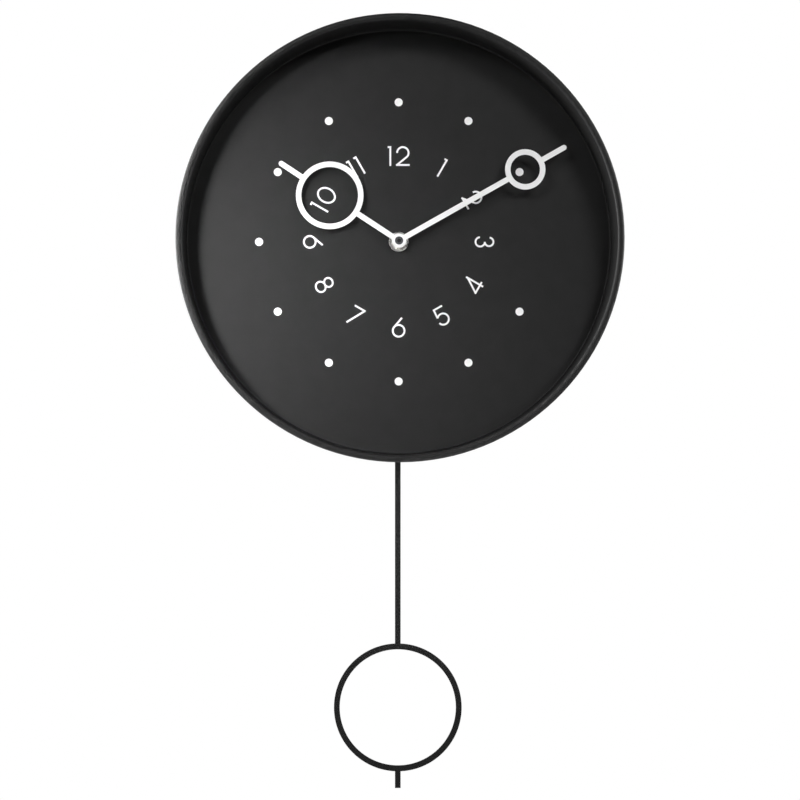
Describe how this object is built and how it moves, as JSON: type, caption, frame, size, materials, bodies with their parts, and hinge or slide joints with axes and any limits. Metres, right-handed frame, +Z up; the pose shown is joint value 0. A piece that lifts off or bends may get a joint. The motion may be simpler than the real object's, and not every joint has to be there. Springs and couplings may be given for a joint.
{
  "type": "pendulum wall clock",
  "caption": "Round wall clock with a deep black metal case, ring-shaped white hands, a printed dial and a ring pendulum swinging below, run by a quartz movement.",
  "frame": {"origin": "centre of the hanger's keyhole, in the plane of the wall", "axes": "+X to the viewer's right, +Y into the wall, +Z up; the dial faces -Y"},
  "size_m": [0.35, 0.064, 0.6152],
  "materials": {
    "case_black": "satin black powder coat",
    "pendulum_black": "satin black powder coat",
    "hand_white": "satin white lacquer on aluminium",
    "white_ink": "printed white ink",
    "zinc_steel": "zinc plated",
    "spring_steel": "bright spring steel",
    "dark_steel": "blackened",
    "nickel": "bright nickel plate",
    "brass": "turned",
    "iron": "soft iron lamination",
    "magnet": "sintered magnet",
    "copper": "enamelled copper wire",
    "gear_plastic": "natural moulded acetal",
    "black_plastic": "fine moulded texture",
    "chip_black": "moulded epoxy",
    "board_green": "solder resist",
    "battery_wrap": "plain printed sleeve",
    "black_rubber": "soft rubber"
  },
  "bodies": {
    "case": {"dial_pan": "case_black", "case_hoop": "case_black", "hanger_plate": "zinc_steel", "hanger_rivets": "zinc_steel", "wall_bumpers": "black_rubber", "hour_dots": "white_ink", "numerals": "white_ink", "movement_front_housing": "black_plastic", "movement_rear_housing": "black_plastic", "housing_screws": "zinc_steel", "threaded_bush": "brass", "bush_nut": "nickel", "bush_washer": "nickel", "movement_pad": "black_rubber", "motor_stator": "iron", "coil_core": "iron", "motor_coil": "copper", "circuit_board": "board_green", "timing_chip": "chip_black", "quartz_crystal": "nickel", "drive_coil": "copper", "drive_core": "iron", "battery": "battery_wrap", "positive_contact": "nickel", "negative_contact": "nickel", "pivot_pin": "spring_steel", "pivot_clip": "spring_steel"},
    "minute_hand": {"minute_hand": "hand_white", "minute_collet": "dark_steel", "minute_arbor": "dark_steel", "friction_spring": "spring_steel"},
    "hour_hand": {"hour_hand": "hand_white", "hour_collet": "brass", "hour_wheel": "gear_plastic"},
    "minute_wheel": {"minute_wheel": "gear_plastic"},
    "setting_knob": {"setting_shaft": "gear_plastic", "setting_knob": "black_plastic"},
    "motor_rotor": {"rotor_pinion": "gear_plastic", "rotor_magnet": "magnet"},
    "intermediate_wheel": {"intermediate_wheel": "gear_plastic"},
    "seconds_wheel": {"seconds_wheel": "gear_plastic"},
    "third_wheel": {"third_wheel": "gear_plastic"},
    "centre_wheel": {"centre_wheel": "gear_plastic"},
    "pendulum": {"swing_arm": "black_plastic", "drive_magnet": "magnet", "pendulum_rod": "pendulum_black", "pendulum_ring": "pendulum_black", "pendulum_tail": "pendulum_black"}
  },
  "joints": [
    {"name": "minute_hand_spin", "type": "hinge", "parent": "case", "child": "minute_hand", "pos_m": [0, -0.018, -0.146], "axis": [0, 1, 0], "continuous": true},
    {"name": "hour_hand_spin", "type": "hinge", "parent": "case", "child": "hour_hand", "pos_m": [0, -0.018, -0.146], "axis": [0, 1, 0], "continuous": true},
    {"name": "minute_wheel_spin", "type": "hinge", "parent": "case", "child": "minute_wheel", "pos_m": [-0.00849, -0.018, -0.13751], "axis": [0, 1, 0], "continuous": true},
    {"name": "setting_knob_spin", "type": "hinge", "parent": "case", "child": "setting_knob", "pos_m": [-0.02049, -0.018, -0.13751], "axis": [0, 1, 0], "continuous": true},
    {"name": "rotor_spin", "type": "hinge", "parent": "case", "child": "motor_rotor", "pos_m": [-0.01546, -0.018, -0.16397], "axis": [0, 1, 0], "continuous": true},
    {"name": "intermediate_wheel_spin", "type": "hinge", "parent": "case", "child": "intermediate_wheel", "pos_m": [-0.01896, -0.018, -0.1579], "axis": [0, 1, 0], "continuous": true},
    {"name": "seconds_wheel_spin", "type": "hinge", "parent": "case", "child": "seconds_wheel", "pos_m": [-0.01639, -0.018, -0.15086], "axis": [0, 1, 0], "continuous": true},
    {"name": "third_wheel_spin", "type": "hinge", "parent": "case", "child": "third_wheel", "pos_m": [-0.00793, -0.018, -0.15393], "axis": [0, 1, 0], "continuous": true},
    {"name": "centre_wheel_spin", "type": "hinge", "parent": "case", "child": "centre_wheel", "pos_m": [0, -0.018, -0.146], "axis": [0, 1, 0], "continuous": true},
    {"name": "pendulum_swing", "type": "hinge", "parent": "case", "child": "pendulum", "pos_m": [0, -0.009, -0.13], "axis": [0, 1, 0], "range_deg": [-7, 7]}
  ],
  "couplings": [
    {"joint": "minute_wheel_spin", "follows": "minute_hand_spin", "ratio": -0.33333},
    {"joint": "hour_hand_spin", "follows": "minute_hand_spin", "ratio": 0.083333},
    {"joint": "setting_knob_spin", "follows": "minute_hand_spin", "ratio": 1},
    {"joint": "intermediate_wheel_spin", "follows": "rotor_spin", "ratio": -0.16667},
    {"joint": "seconds_wheel_spin", "follows": "rotor_spin", "ratio": 0.033333},
    {"joint": "third_wheel_spin", "follows": "rotor_spin", "ratio": -0.0041667},
    {"joint": "centre_wheel_spin", "follows": "rotor_spin", "ratio": 0.00055556}
  ]
}
